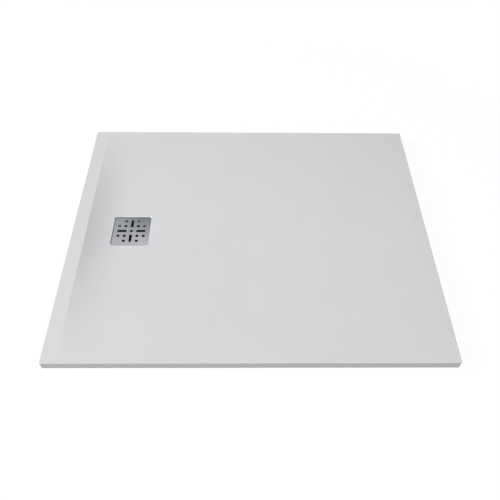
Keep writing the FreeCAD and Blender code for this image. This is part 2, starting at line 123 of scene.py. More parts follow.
class Graph:
    """A node tree that grows from calls: a node's type, its settings, then its sockets."""

    def __init__(self, tree):
        self.tree = tree
        tree.nodes.clear()

    def join(self, value, socket):
        """Links a wire to a socket, or each wire of a list, or sets a plain value on it."""
        if isinstance(value, list):
            for wire in value:
                self.join(wire, socket)
        elif isinstance(value, Wire):
            self.tree.links.new(value.socket, socket)
        else:
            socket.default_value = value

    def node(self, kind, settings=None, sockets=None, out=0):
        made = self.tree.nodes.new(kind)
        for name, value in (settings or {}).items():
            if name == "stops":
                ramp = made.color_ramp.elements
                ramp[0].position, ramp[0].color = value[0]
                ramp[1].position, ramp[1].color = value[-1]
                for place, colour in value[1:-1]:
                    ramp.new(place).color = colour
            else:
                setattr(made, name, value)
        for name, value in (sockets or {}).items():
            self.join(value, made.inputs[name])
        return Wire(self, made.outputs[out]) if made.outputs else made

    def maths(self, operation, *values):
        return self.node("ShaderNodeMath", {"operation": operation}, dict(enumerate(values)))

    def split(self, vector):
        """The x, y and z of a vector."""
        box = self.node("ShaderNodeSeparateXYZ", None, {"Vector": vector}).socket.node
        return [Wire(self, output) for output in box.outputs]


# %% Maths for wires and for numbers


def root(value):
    return value.maths("SQRT") if isinstance(value, Wire) else math.sqrt(value)


def larger(value, other):
    return value.maths("MAXIMUM", other) if isinstance(value, Wire) else max(value, other)


def smaller(value, other):
    return value.maths("MINIMUM", other) if isinstance(value, Wire) else min(value, other)


def held(value):
    """The value, held between 0 and 1."""
    return smaller(larger(value, 0.0), 1.0)


# %% [markdown]
# ## The sizes of the tray
# The outer sizes and the drain's place are read from the measured model. The rims, the depth of the floor and
# the softness of its folds are the same values that the model was drawn with, repeated here by name.

# %% Sizes of the tray
_, tray_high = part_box("tray")
cover_low, cover_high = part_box("drain_cover")
half_length = tray_high.x
half_width = tray_high.y
thickness = tray_high.z
drain_x = (cover_low.x + cover_high.x) / 2
cover_half = (cover_high.x - cover_low.x) / 2
corner_radius = 4.0 * MM
edge_round = 1.5 * MM
left_rim = 47.0 * MM
right_rim = 38.0 * MM
side_rim = 8.0 * MM
basin_depth = 14.0 * MM
level_before_drain = 25.0 * MM
drain_softness = 120.0 * MM
valley_softness = 65.0 * MM
basin_left = left_rim - half_length
basin_right = half_length - right_rim
basin_half_width = half_width - side_rim
basin_level_x = drain_x - level_before_drain
print("drain at", round(drain_x / MM, 1), "mm; floor falls", round(basin_depth / MM, 1), "mm")

# %% [markdown]
# ## The rule of the floor
# A caster shapes the floor of a tray so that water runs to the drain from everywhere: it falls along the tray
# and it falls from the front and back to the middle line. Here the depth is the product of the two falls. It
# could be sculpted, but a rule gives clean folds, and the same rule is in the measured model, so the two agree.

# %% The rule of the floor


def eased(share, softness):
    """Rises from 0 to 1 with the share, nearly straight, with a soft start."""
    whole = math.hypot(1, softness) - softness
    return (root(share * share + softness * softness) - softness) / whole


def floor_depth(x, y):
    """How far the floor lies under the rim, for plain numbers and for wires."""
    left = larger(basin_level_x - x, 0.0) / (basin_level_x - basin_left)
    run = basin_right - basin_level_x
    right = larger(x - basin_level_x, 0.0) / run
    along = larger(1.0 - left * left - eased(right, drain_softness / run), 0.0)
    side = abs(y) / basin_half_width
    across = larger(1.0 - eased(side, valley_softness / basin_half_width), 0.0)
    return along * across * basin_depth


print("floor at the cover's edge, in mm:", round((thickness - floor_depth(drain_x, cover_half)) / MM, 2))

# %% [markdown]
# ## Outlines and lofts
# The slab, the recess, the waste hole, the cover and its holes are all prisms with rounded corners. One function
# gives the points of a rounded rectangle, and another joins rings of such points into a closed solid. A ring can
# stand at any height and be grown by any amount, so a rolled edge is only a few more rings.

# %% Outlines and lofts
CORNER_STEPS = 10
QUARTER_TURN = math.pi / 2


def outline(half_x, half_y, corner, grown=0.0, steps=CORNER_STEPS):
    """The points of a rounded rectangle, counter-clockwise."""
    radius = corner + grown
    points = []
    for quarter, (side_x, side_y) in enumerate(((1, 1), (-1, 1), (-1, -1), (1, -1))):
        for step in range(steps + 1):
            turn = (quarter + step / steps) * QUARTER_TURN
            x = side_x * (half_x - corner) + radius * math.cos(turn)
            y = side_y * (half_y - corner) + radius * math.sin(turn)
            points.append((x, y))
    return points


def divided(points, longest):
    """The same outline, with more points on the sides that are longer than a length."""
    result = []
    for start, end in zip(points, points[1:] + points[:1]):
        count = max(1, math.ceil(math.dist(start, end) / longest))
        run_x, run_y = end[0] - start[0], end[1] - start[1]
        result += [(start[0] + run_x * step / count, start[1] + run_y * step / count) for step in range(count)]
    return result


def add_object(name, data):
    """Puts a new object into the scene."""
    made = bpy.data.objects.new(name, data)
    bpy.context.scene.collection.objects.link(made)
    return made


def loft(name, rings, closed=True):
    """A solid through rings of points, from the lowest ring to the highest, or a surface that is
    open at its first ring."""
    mesh = bmesh.new()
    loops = [[mesh.verts.new(point) for point in ring] for ring in rings]
    for lower, upper in zip(loops, loops[1:]):
        for index in range(len(lower)):
            following = (index + 1) % len(lower)
            mesh.faces.new((lower[index], lower[following], upper[following], upper[index]))
    if closed:
        mesh.faces.new(list(reversed(loops[0])))
    mesh.faces.new(loops[-1])
    data = bpy.data.meshes.new(name)
    mesh.to_mesh(data)
    mesh.free()
    return add_object(name, data)


MOUTH_TURN = math.radians(60)
EDGE_STEPS = 4


def rolled_edge(radius, reach, steps=EDGE_STEPS):
    """Steps (grown, height) of a mouth that opens along an arc and then runs on straight past the
    surface at height 0, so that a cut made with it leaves a rounded edge."""
    arc = []
    for step in range(steps + 1):
        turn = MOUTH_TURN * step / steps
        arc.append((radius * (1 - math.cos(turn)), radius * (math.sin(turn) - 1)))
    grown, height = arc[-1]
    arc.append((grown + (reach - height) * math.tan(MOUTH_TURN), reach))
    return arc


# %% [markdown]
# ## The block of air over the tray
# The top of the tray is one dense surface that follows the rule, with the faint uneven relief of cast stone. It
# is made as the underside of a block of air, which is then cut from a plain slab: the cut leaves exact side
# walls and a clean rounded edge. The block starts as a grid whose lines fall on the folds of the floor, and a
# Geometry Nodes tree sets the height of each of its lower points.

# %% Lines of the grid
GRID_STEP = 4.3 * MM
AIR_MARGIN = 5.0 * MM
AIR_TOP = 60.0 * MM
EDGE_SHARES = (0.0, 0.1, 0.3, 0.6, 1.0, 1.4, 1.8, 2.2)
FOLD_STEP = 0.7 * MM


def grid_lines(half, marks):
    """Lines across the block: three close ones at each fold, more over the rounded edge, and
    elsewhere no further apart than the grid step."""
    edges = [half - edge_round * share for share in EDGE_SHARES] + [half - corner_radius]
    folds = [mark + FOLD_STEP * side for mark in marks for side in (-1, 0, 1)]
    stops = sorted({half + AIR_MARGIN, -half - AIR_MARGIN, *edges, *[-edge for edge in edges], *folds})
    lines = [stops[0]]
    for start, end in zip(stops, stops[1:]):
        count = math.ceil((end - start) / GRID_STEP)
        lines += [start + (end - start) * (step + 1) / count for step in range(count)]
    return lines


lines_x = grid_lines(half_length, [basin_left, basin_level_x, basin_right])
lines_y = grid_lines(half_width, [-basin_half_width, 0.0, basin_half_width])
print("grid:", len(lines_x), "by", len(lines_y), "lines")

# %% The block itself


def grid_block(name, xs, ys, bottom, top):
    """A closed block whose lower and upper faces are both divided by the lines."""
    columns = len(xs)
    points = [(x, y, z) for z in (bottom, top) for y in ys for x in xs]
    layer = columns * len(ys)
    faces = []
    for row in range(len(ys) - 1):
        for column in range(columns - 1):
            corner = row * columns + column
            quad = (corner, corner + 1, corner + 1 + columns, corner + columns)
            faces.append(quad[::-1])
            faces.append(tuple(index + layer for index in quad))
    last_row = layer - columns
    for column in range(columns - 1):
        faces.append((column, column + 1, column + 1 + layer, column + layer))
        far = last_row + column
        faces.append((far + 1, far, far + layer, far + 1 + layer))
    for row in range(len(ys) - 1):
        near = row * columns
        faces.append((near + columns, near, near + layer, near + columns + layer))
        far = near + columns - 1
        faces.append((far, far + columns, far + columns + layer, far + layer))
    data = bpy.data.meshes.new(name)
    data.from_pydata(points, [], faces)
    return add_object(name, data)


air = grid_block("air", lines_x, lines_y, thickness, AIR_TOP)
print("block of air:", len(air.data.polygons), "faces")

# %% [markdown]
# ## A tree of geometry nodes
# A tree gets its sizes through named inputs, so that it can be used again with other numbers. The modifier
# stores an input under the socket's identifier, which is why the helper keeps that name for each input.

# %% Trees and how they are run


class Shaper(Graph):
    """A Geometry Nodes tree with named inputs, which ends in real geometry with a material."""

    def __init__(self, name, inputs):
        super().__init__(bpy.data.node_groups.new(name, "GeometryNodeTree"))
        interface = self.tree.interface
        interface.new_socket("Geometry", in_out="INPUT", socket_type="NodeSocketGeometry")
        interface.new_socket("Geometry", in_out="OUTPUT", socket_type="NodeSocketGeometry")
        self.values = {}
        for label, value in inputs.items():
            kind = "NodeSocketFloat"
            if isinstance(value, bpy.types.Object):
                kind = "NodeSocketObject"
            elif isinstance(value, int):
                kind = "NodeSocketInt"
            socket = interface.new_socket(label, in_out="INPUT", socket_type=kind)
            self.values[socket.identifier] = value
        self.entry = self.node("NodeGroupInput").socket.node

    def input(self, label):
        return Wire(self, self.entry.outputs[label])

    def finish(self, geometry, material):
        real = self.node("GeometryNodeRealizeInstances", None, {"Geometry": geometry})
        dressed = self.node("GeometryNodeSetMaterial", None, {"Geometry": real, "Material": material})
        self.node("NodeGroupOutput", None, {"Geometry": dressed})

    def run(self, piece):
        """Runs the tree on a piece and keeps the result as its plain mesh."""
        modifier = piece.modifiers.new("shape", "NODES")
        modifier.node_group = self.tree
        for identifier, value in self.values.items():
            modifier[identifier] = value
        keep_result(piece)


def keep_result(piece):
    """Replaces a piece's mesh by what its modifiers make of it, and removes them."""
    bpy.context.view_layer.update()
    graph = bpy.context.evaluated_depsgraph_get()
    made = bpy.data.meshes.new_from_object(piece.evaluated_get(graph), depsgraph=graph)
    piece.modifiers.clear()
    piece.data = made


# %% The relief of the casting
RELIEF = {
    "Relief depth": 0.16 * MM,
    "Relief size": 30.0 * MM,
    "Relief fade": 12.0 * MM,
    "Relief detail": 1.5,
    "Relief bend": 0.6,
    "Seed": 7,
}


def rounded_distance(x, y, half_x, half_y, corner):
    """How far a place lies inside a rounded rectangle, which is below 0 outside it."""
    past_x = abs(x) - (half_x - corner)
    past_y = abs(y) - (half_y - corner)
    out_x = larger(past_x, 0.0)
    out_y = larger(past_y, 0.0)
    inside = smaller(larger(past_x, past_y), 0.0)
    return corner - root(out_x * out_x + out_y * out_y) - inside


def shape_air():
    tree = Shaper("floor_of_the_tray", RELIEF)
    place = tree.node("GeometryNodeInputPosition")
    x, y, z = tree.split(place)
    inside = rounded_distance(x, y, half_length, half_width, corner_radius)
    short = smaller(larger(edge_round - inside, 0.0), edge_round)
    drop = edge_round - root(edge_round * edge_round - short * short)
    sockets = {"Vector": place, "W": tree.input("Seed"), "Scale": 1.0 / tree.input("Relief size")}
    sockets |= {"Detail": tree.input("Relief detail"), "Distortion": tree.input("Relief bend")}
    relief = held(tree.node("ShaderNodeTexNoise", {"noise_dimensions": "4D"}, sockets))
    cover_side = larger(abs(x - drain_x), abs(y)) - cover_half
    fade = held((inside - edge_round) / tree.input("Relief fade")) * held(cover_side / tree.input("Relief fade"))
    height = thickness - floor_depth(x, y) - drop - relief * fade * tree.input("Relief depth")
    is_floor = z.maths("LESS_THAN", (thickness + AIR_TOP) / 2)
    target = tree.node("ShaderNodeCombineXYZ", None, {"X": x, "Y": y, "Z": height})
    sockets = {"Geometry": tree.input("Geometry"), "Selection": is_floor, "Position": target}
    moved = tree.node("GeometryNodeSetPosition", None, sockets)
    tree.finish(moved, bpy.data.materials.new("air_material"))
    tree.run(air)


shape_air()
lowest = min(vertex.co.z for vertex in air.data.vertices)
print("lowest point of the floor, in mm:", round(lowest / MM, 2))

# %% [markdown]
# ## The slab
# The plain slab is a loft of rounded rectangles, a little higher than the tray. The block of air and the two
# cutters of the drain are then taken away from it with Booleans. These can leave a poor mesh when two surfaces
# lie in one plane, so every cutter here passes well through the surface that it cuts.

# %% Rings and cuts
UNDER_BEVEL = 0.8 * MM
SLAB_EXTRA = 4.0 * MM
SMOOTH_ANGLE = math.radians(38)


def flat_ring(points, height, centre_x=0.0):
    """Points of an outline, moved along the tray and laid at one height."""
    return [(centre_x + x, y, height) for x, y in points]


def cut(piece, *cutters):
    """Takes solids away from a piece, and removes them."""
    for cutter in cutters:
        step = piece.modifiers.new("cut", "BOOLEAN")
        step.operation = "DIFFERENCE"
        step.solver = "MANIFOLD"
        step.object = cutter
    keep_result(piece)
    for cutter in cutters:
        bpy.data.objects.remove(cutter)


def shade_round(piece):
    """Smooth shading that stays crisp at sharp edges and keeps the large faces flat."""
    piece.data.shade_smooth()
    piece.data.set_sharp_from_angle(angle=SMOOTH_ANGLE)
    weighted = piece.modifiers.new("weighted", "WEIGHTED_NORMAL")
    weighted.mode = "FACE_AREA"
    weighted.keep_sharp = True
    keep_result(piece)


slab_outline = (half_length, half_width, corner_radius)
tray = loft(
    "tray_slab",
    [
        flat_ring(outline(*slab_outline, grown=-UNDER_BEVEL), 0.0),
        flat_ring(outline(*slab_outline), UNDER_BEVEL),
        flat_ring(outline(*slab_outline), thickness + SLAB_EXTRA),
    ],
)
print("slab:", len(tray.data.polygons), "faces")

# %% [markdown]
# ## The recess, the waste hole and the flat underneath
# Two cutters make the drain. The lower one is a wide low disc, for the flat that the lower gasket seals on, with
# the waste hole above it. The upper one is the square recess that carries the cover. Its mouth opens along an
# arc whose rings follow the rule of the floor, so the edge of the recess is evenly rounded, as a cast edge is.

# %% Cutting the drain
COVER_GAP = 1.2 * MM
COVER_CORNER = 7.0 * MM
WASTE_HOLE_RADIUS = 45.0 * MM
SEAL_FLAT_RADIUS = 58.0 * MM
SEAL_FLAT_DEPTH = 1.0 * MM
RECESS_LIP = 1.6 * MM
MOUTH_STEP = 6.0 * MM
DRAIN_STEPS = 24
recess_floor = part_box("upper_gasket")[0].z
recess_half = cover_half + COVER_GAP
recess_corner = COVER_CORNER + COVER_GAP


def circle(radius):
    return outline(radius, radius, radius, steps=DRAIN_STEPS)


def mouth_ring(grown, height):
    """A ring of the recess's mouth at a height over the floor of the tray."""
    ring = []
    for x, y in divided(outline(recess_half, recess_half, recess_corner, grown, DRAIN_STEPS), MOUTH_STEP):
        surface = thickness - floor_depth(drain_x + x, y)
        ring.append((drain_x + x, y, surface + height))
    return ring


hole_steps = (
    (SEAL_FLAT_RADIUS, -SLAB_EXTRA),
    (SEAL_FLAT_RADIUS, SEAL_FLAT_DEPTH),
    (WASTE_HOLE_RADIUS, SEAL_FLAT_DEPTH),
    (WASTE_HOLE_RADIUS, recess_floor + SLAB_EXTRA),
)
hole_rings = [flat_ring(circle(radius), height, drain_x) for radius, height in hole_steps]
recess_outline = divided(outline(recess_half, recess_half, recess_corner, steps=DRAIN_STEPS), MOUTH_STEP)
recess_rings = [flat_ring(recess_outline, recess_floor, drain_x)]
recess_rings += [mouth_ring(grown, height) for grown, height in rolled_edge(RECESS_LIP, SLAB_EXTRA)]
cut(tray, air, loft("hole_cutter", hole_rings), loft("recess_cutter", recess_rings))
shade_round(tray)
print("tray:", len(tray.data.polygons), "faces")

# %% [markdown]
# ## The drain cover
# The cover is a stainless plate, punched with square holes on a grid. In its middle row and middle column the
# places on each side of the centre are joined into slots, and the four corners are left whole. This is a
# pattern with a rule, so a Geometry Nodes tree lays it out: it makes the grid of points, keeps those where a
# square belongs, puts a punch on each, adds four turned slot punches and cuts them all from the plate. Each
# punch widens a little at both ends, which leaves the softened edges of a tumbled stamping.

# %% Plate and punches
COVER_ROUND = 0.8 * MM
COVER_UNDER_BEVEL = 0.3 * MM
COVER_BORDER = 14.05 * MM
HOLE_WIDTH = 9.5 * MM
HOLE_CORNER = 1.4 * MM
HOLE_REACH = 2
PUNCH_ROUND = 0.25 * MM
PUNCH_EXTRA = 1.0 * MM
PUNCH_EDGE_STEPS = 3
PUNCH_CORNER_STEPS = 4
hole_pitch = (2 * cover_half - 2 * COVER_BORDER - HOLE_WIDTH) / (2 * HOLE_REACH)
plate_bottom = cover_low.z
plate_top = cover_high.z


def rounded_top(half_x, half_y, corner, radius, top, steps=EDGE_STEPS):
    """Rings of a rounded upper edge."""
    rings = []
    for step in range(steps + 1):
        turn = QUARTER_TURN * step / steps
        inset = radius * (1 - math.cos(turn))
        height = top - radius + radius * math.sin(turn)
        rings.append(flat_ring(outline(half_x, half_y, corner, -inset), height))
    return rings


plate_shape = (cover_half, cover_half, COVER_CORNER)
plate_rings = [
    flat_ring(outline(*plate_shape, -COVER_UNDER_BEVEL), plate_bottom),
    flat_ring(outline(*plate_shape), plate_bottom + COVER_UNDER_BEVEL),
]
cover = loft("drain_cover_plate", plate_rings + rounded_top(*plate_shape, COVER_ROUND, plate_top))


def punch(name, columns):
    """A punch as long as a number of places in a row, centred on the origin."""
    half = (hole_pitch * (columns - 1) + HOLE_WIDTH) / 2
    shape = (half, HOLE_WIDTH / 2, HOLE_CORNER)
    edge = rolled_edge(PUNCH_ROUND, PUNCH_EXTRA, PUNCH_EDGE_STEPS)
    upper = [(grown, plate_top + height) for grown, height in edge]
    lower = [(grown, plate_bottom - height) for grown, height in reversed(edge)]
    return loft(name, [flat_ring(outline(*shape, grown, PUNCH_CORNER_STEPS), z) for grown, z in lower + upper])


square_punch = punch("square_punch", 1)
slot_punch = punch("slot_punch", HOLE_REACH)
print("hole pitch:", round(hole_pitch / MM, 2), "mm")

# %% The tree that punches the plate
PATTERN = {
    "Pitch": hole_pitch,
    "Reach": HOLE_REACH,
    "Square": square_punch,
    "Slot": slot_punch,
}
HALF_PLACE = 0.5


def punch_cover(material):
    tree = Shaper("punched_pattern", PATTERN)
    pitch = tree.input("Pitch")
    reach = tree.input("Reach")
    count = reach * 2 + 1
    size = pitch * reach * 2
    sockets = {"Size X": size, "Size Y": size, "Vertices X": count, "Vertices Y": count}
    grid = tree.node("GeometryNodeMeshGrid", None, sockets)
    x, y, _ = tree.split(tree.node("GeometryNodeInputPosition"))
    column = abs(x) / pitch
    row = abs(y) / pitch
    steps_out = column + row
    off_axes = smaller(column, row).maths("GREATER_THAN", HALF_PLACE)
    no_corner = steps_out.maths("LESS_THAN", reach * 2 - HALF_PLACE)
    centre = steps_out.maths("LESS_THAN", HALF_PLACE)
    has_square = off_axes * no_corner + centre
    square = tree.node("GeometryNodeObjectInfo", None, {"Object": tree.input("Square")}, out="Geometry")
    sockets = {"Points": grid, "Selection": has_square, "Instance": square}
    squares = tree.node("GeometryNodeInstanceOnPoints", None, sockets)
    ring = tree.node("GeometryNodeMeshCircle", None, {"Vertices": 4, "Radius": (reach + 1) * pitch / 2})
    slot = tree.node("GeometryNodeObjectInfo", None, {"Object": tree.input("Slot")}, out="Geometry")
    turn = tree.node("GeometryNodeInputIndex") * QUARTER_TURN
    sockets = {"Points": ring, "Instance": slot, "Rotation": tree.node("ShaderNodeCombineXYZ", None, {"Z": turn})}
    slots = tree.node("GeometryNodeInstanceOnPoints", None, sockets)
    both = tree.node("GeometryNodeJoinGeometry", None, {"Geometry": [squares, slots]})
    punches = tree.node("GeometryNodeRealizeInstances", None, {"Geometry": both})
    settings = {"operation": "DIFFERENCE", "solver": "MANIFOLD"}
    sockets = {"Mesh 1": tree.input("Geometry"), "Mesh 2": punches}
    tree.finish(tree.node("GeometryNodeMeshBoolean", settings, sockets), material)
    tree.run(cover)


punch_cover(bpy.data.materials.new("cover_steel"))
for used in (square_punch, slot_punch):
    bpy.data.objects.remove(used)
cover.data.transform(Matrix.Translation((drain_x, 0, 0)))
shade_round(cover)
print("cover:", len(cover.data.polygons), "faces")

# %% [markdown]
# ## Materials
# Every finish is a node graph on the piece's own Object coordinates, which are metres in this scene, so a grain
# size is written as a length. A value that is the same all over is set on the shader's own socket, and only what
# really changes over the surface is linked: the colour, the roughness and the bump.

# %% Tools for materials
MIX_FIRST, MIX_SECOND, MIX_COLOUR = 6, 7, 2  # the colour sockets of a Mix node


class Finish(Graph):
    """A material with one Principled shader, built from noise on Object coordinates."""

    def __init__(self, name, **values):
        self.material = bpy.data.materials.new(name)
        self.material.use_nodes = True
        super().__init__(self.material.node_tree)
        self.place = self.node("ShaderNodeTexCoord", out="Object")
        shader = self.node("ShaderNodeBsdfPrincipled")
        self.shader = shader.socket.node
        self.node("ShaderNodeOutputMaterial", None, {"Surface": shader})
        self.dress(**values)

    def stretched(self, scale):
        """Object coordinates pulled by a factor on each axis."""
        return self.node("ShaderNodeMapping", None, {"Vector": self.place, "Scale": scale})

    def noise(self, size, detail=2.0, roughness=0.5, distortion=0.0, vector=None):
        """Soft noise whose features are about as wide as the size, from 0 to 1."""
        sockets = {"Vector": vector or self.place, "Scale": 1.0 / size, "Detail": detail}
        sockets |= {"Roughness": roughness, "Distortion": distortion}
        return self.node("ShaderNodeTexNoise", None, sockets)

    def ramp(self, value, *stops):
        """A colour that follows a value, over stops of (place, colour)."""
        stops = [(place, (*colour, 1.0)) for place, colour in stops]
        return self.node("ShaderNodeValToRGB", {"stops": stops}, {"Fac": value})

    def tint(self, factor, first, second):
        """A mix of two colours, each a wire or a plain colour."""
        sockets = {"Factor": factor}
        for place, colour in ((MIX_FIRST, first), (MIX_SECOND, second)):
            sockets[place] = colour if isinstance(colour, Wire) else (*colour, 1.0)
        return self.node("ShaderNodeMix", {"data_type": "RGBA"}, sockets, out=MIX_COLOUR)

    def bump(self, height, depth, strength=1.0, under=None):
        """A bump of a real depth in metres, over another bump where one is given."""
        sockets = {"Height": height, "Distance": depth, "Strength": strength}
        if under is not None:
            sockets["Normal"] = under
        return self.node("ShaderNodeBump", None, sockets)

    def dress(self, **values):
        """Sets or links the shader's sockets, with their names written as Base_Color."""
        for label, value in values.items():
            self.join(value, self.shader.inputs[label.replace("_", " ")])
        return self.material


def give(material, piece):
    """Puts one material on a whole piece."""
    piece.data.materials.clear()
    piece.data.materials.append(material)


# %% [markdown]
# ### Cast mineral resin
# A stone-resin tray is cast face down in a mould with a fine slate grain, and its gel coat is matt. From a step
# away it is one pale grey. Close to, it has a sand-like tooth, low flat ridges about a centimetre long, and
# hardly any colour of its own: the shade only drifts by two or three parts in a hundred. Round the recess a
# paler band is painted on as a highlight. The rule of distance that shaped the slab places that band too.

# %% Resin
RESIN_PALE = (0.670, 0.670, 0.684)
RESIN_DEEP = (0.652, 0.653, 0.668)
# The paler colour of the painted highlight band round the recess.
RESIN_PAINTED_HIGHLIGHT = (0.785, 0.788, 0.795)
RESIN_STOPS = ((0.35, RESIN_DEEP), (0.65, RESIN_PALE))
RESIN_ROUGH = 0.52
SLATE_PULL = (0.55, 1.0, 1.0)
# Where the painted highlight band lies beside the recess, and how it fades towards the front.
HIGHLIGHT_START = 0.2 * MM
HIGHLIGHT_END = 3.6 * MM
HIGHLIGHT_FADE = 0.8 * MM
HIGHLIGHT_AT_MIDDLE = 0.7
HIGHLIGHT_TO_BACK = 0.5


def painted_highlight_band(finish):
    """1 on the band of painted highlight round the recess, 0 elsewhere, and fainter towards the front."""
    x, y, z = finish.split(finish.place)
    outside = 0.0 - rounded_distance(x - drain_x, y, recess_half, recess_half, recess_corner)
    past_lip = held((outside - HIGHLIGHT_START) / HIGHLIGHT_FADE)
    near = held((HIGHLIGHT_END - outside) / HIGHLIGHT_FADE)
    on_floor = z.maths("GREATER_THAN", plate_top)
    towards_back = held(y / recess_half * HIGHLIGHT_TO_BACK + HIGHLIGHT_AT_MIDDLE)
    return past_lip * near * on_floor * towards_back


def make_resin():
    finish = Finish("tray_gel_coat", Specular_IOR_Level=0.35)
    drift = finish.noise(size=140 * MM, detail=3.0, roughness=0.6)
    specks = finish.noise(size=1.6 * MM)
    sand = finish.noise(size=0.7 * MM, roughness=0.7)
    long_grain = finish.stretched(SLATE_PULL)
    slate = finish.noise(size=7 * MM, detail=4.0, roughness=0.55, distortion=0.8, vector=long_grain)
    shade = finish.ramp(drift * 0.6 + specks * 0.4, *RESIN_STOPS)
    # Painted highlight: a paler band round the recess, fainter towards the front.
    shade = finish.tint(painted_highlight_band(finish), shade, RESIN_PAINTED_HIGHLIGHT)
    rough = RESIN_ROUGH + sand * 0.16 + drift * 0.04
    ridges = finish.bump(slate, depth=0.35 * MM, strength=0.5)
    tooth = finish.bump(sand, depth=0.06 * MM, strength=0.6, under=ridges)
    return finish.dress(Base_Color=shade, Roughness=rough, Normal=tooth)


resin = make_resin()
give(resin, tray)
print("nodes of the gel coat:", len(resin.node_tree.nodes))

# %% [markdown]
# ### The raw sides of the casting
# The gel coat ends at the rim. The sides, the walls of the recess and the underside are bare resin that was
# rubbed level with a block, so they are duller, with long faint rub marks and a scatter of tiny air pores. Their
# colour is darker than the gel coat, partly as bare resin is and partly as painted shade on the sides, in the
# recess and underneath. They are a second material on the same piece, chosen by each face's place and by the way it
# looks.

# %% Raw resin
# Darker than the gel coat: the bare resin's own tone with painted shade in it.
BARE_RESIN_PALE_AND_PAINTED_SHADE = (0.530, 0.534, 0.545)
BARE_RESIN_DEEP_AND_PAINTED_SHADE = (0.485, 0.490, 0.502)
PORE = (0.40, 0.40, 0.41)
PORE_SPACING = 3.5 * MM
PORE_SHARE = 0.09
RAW_ROUGH = 0.62
RUB_PULL = (0.06, 0.06, 1.0)


def make_bare_resin_and_painted_shade():
    finish = Finish("tray_raw_resin", Specular_IOR_Level=0.3)
    drift = finish.noise(size=60 * MM, detail=3.0, roughness=0.6)
    sand = finish.noise(size=0.9 * MM, roughness=0.7)
    rubbed = finish.noise(size=3 * MM, detail=3.0, vector=finish.stretched(RUB_PULL))
    sockets = {"Vector": finish.place, "Scale": 1.0 / PORE_SPACING}
    solid = smaller(finish.node("ShaderNodeTexVoronoi", None, sockets, out="Distance") / PORE_SHARE, 1.0)
    # The darker colour is partly painted shade on the sides, the recess walls and the underside.
    shade = finish.tint(drift * 0.5 + rubbed * 0.5, BARE_RESIN_DEEP_AND_PAINTED_SHADE, BARE_RESIN_PALE_AND_PAINTED_SHADE)
    shade = finish.tint(solid, PORE, shade)
    rough = RAW_ROUGH + sand * 0.14 + rubbed * 0.08
    marks = finish.bump(rubbed, depth=0.15 * MM, strength=0.5)
    pores = finish.bump(solid, depth=0.25 * MM, strength=0.6, under=marks)
    tooth = finish.bump(sand, depth=0.08 * MM, strength=0.5, under=pores)
    return finish.dress(Base_Color=shade, Roughness=rough, Normal=tooth)


# %% Choosing the raw faces
WALL_MARGIN = 0.3 * MM
LEVEL_LIMIT = 0.5


def is_raw(face):
    """Whether a face belongs to the sides, the walls of the drain or the underside."""
    x, y, z = face.center
    level = face.normal.z
    beside = rounded_distance(x, y, half_length, half_width, corner_radius) < WALL_MARGIN
    in_drain = max(abs(x - drain_x), abs(y)) < recess_half + WALL_MARGIN and z < plate_top - RECESS_LIP / 2
    upright = abs(level) < LEVEL_LIMIT
    return (beside and z < thickness - edge_round) or (in_drain and upright) or level < -LEVEL_LIMIT


# The faces that get the darker resin with its painted shade.
tray.data.materials.append(make_bare_resin_and_painted_shade())
raw_faces = [face for face in tray.data.polygons if is_raw(face)]
for face in raw_faces:
    face.material_index = 1
print("raw faces:", len(raw_faces))

# %% [markdown]
# ### Satin stainless steel
# The cover is brushed along its length and then tumbled. Brushing leaves fine parallel scratches, so the noise is
# squeezed across the scratches and long along them. A little anisotropy, the same all over, draws reflections
# out across the grain. The cover also has a painted reflection in its colour: it is brightest at its front edge
# and darker towards its back right corner, as if it mirrored a darker part of the room.

# %% Stainless steel
STEEL_PALE = (0.422, 0.431, 0.448)
# The dark end of the brushing, and on the cover also the dark end of its painted reflection.
STEEL_DARK_GRAIN_AND_PAINTED_REFLECTION = (0.208, 0.218, 0.228)
GRAIN_ACROSS = 0.35 * MM
GRAIN_ALONG = 40 * MM
STEEL_ROUGH = 0.30
NOISE_MIDDLE = 0.5
SCRATCH_CONTRAST = 0.25
CLOUD_CONTRAST = 0.2
EVEN_DULL = 0.2
# How strongly the painted reflection darkens the cover at its back, and more so to its right.
PAINTED_REFLECTION_AT_BACK = 0.75
PAINTED_REFLECTION_TO_RIGHT = 0.4


def make_steel(name, centre_x=0.0, half=None):
    """Brushed steel. With a half size, a painted reflection darkens the plate towards its back right corner."""
    finish = Finish(name, Metallic=1.0, Anisotropic=0.35)
    squeezed = finish.stretched((1.0 / GRAIN_ALONG, 1.0 / GRAIN_ACROSS, 1.0 / GRAIN_ACROSS))
    scratches = finish.noise(size=1.0, detail=3.0, vector=squeezed)
    clouds = finish.noise(size=30 * MM, detail=3.0)
    dull = EVEN_DULL
    if half:
        # Painted reflection: the colour darkens towards the back right corner of the cover.
        x, y, _ = finish.split(finish.place)
        back = held((y + half) / (2 * half))
        right = held((x - centre_x + half) / (2 * half))
        dull = back * (right * PAINTED_REFLECTION_TO_RIGHT + PAINTED_REFLECTION_AT_BACK)
    uneven = dull + (scratches - NOISE_MIDDLE) * SCRATCH_CONTRAST + (clouds - NOISE_MIDDLE) * CLOUD_CONTRAST
    shade = finish.tint(held(uneven), STEEL_PALE, STEEL_DARK_GRAIN_AND_PAINTED_REFLECTION)
    rough = STEEL_ROUGH + scratches * 0.14 + clouds * 0.06
    grain = finish.bump(scratches, depth=0.02 * MM, strength=0.35)
    return finish.dress(Base_Color=shade, Roughness=rough, Normal=grain)


# The cover's steel carries the painted reflection.
give(make_steel("cover_brushed_steel", drain_x, cover_half), cover)
steel = make_steel("screw_steel")
print("nodes of the steel:", len(steel.node_tree.nodes))

# %% [markdown]
# ### Moulded plastics, rubber and brass
# These hide under the cover and under the tray. A moulded plastic has a soft, slightly uneven sheen with the
# fine spark texture of its mould; rubber is dull with a dusty bloom; brass is turned, so its marks run round.

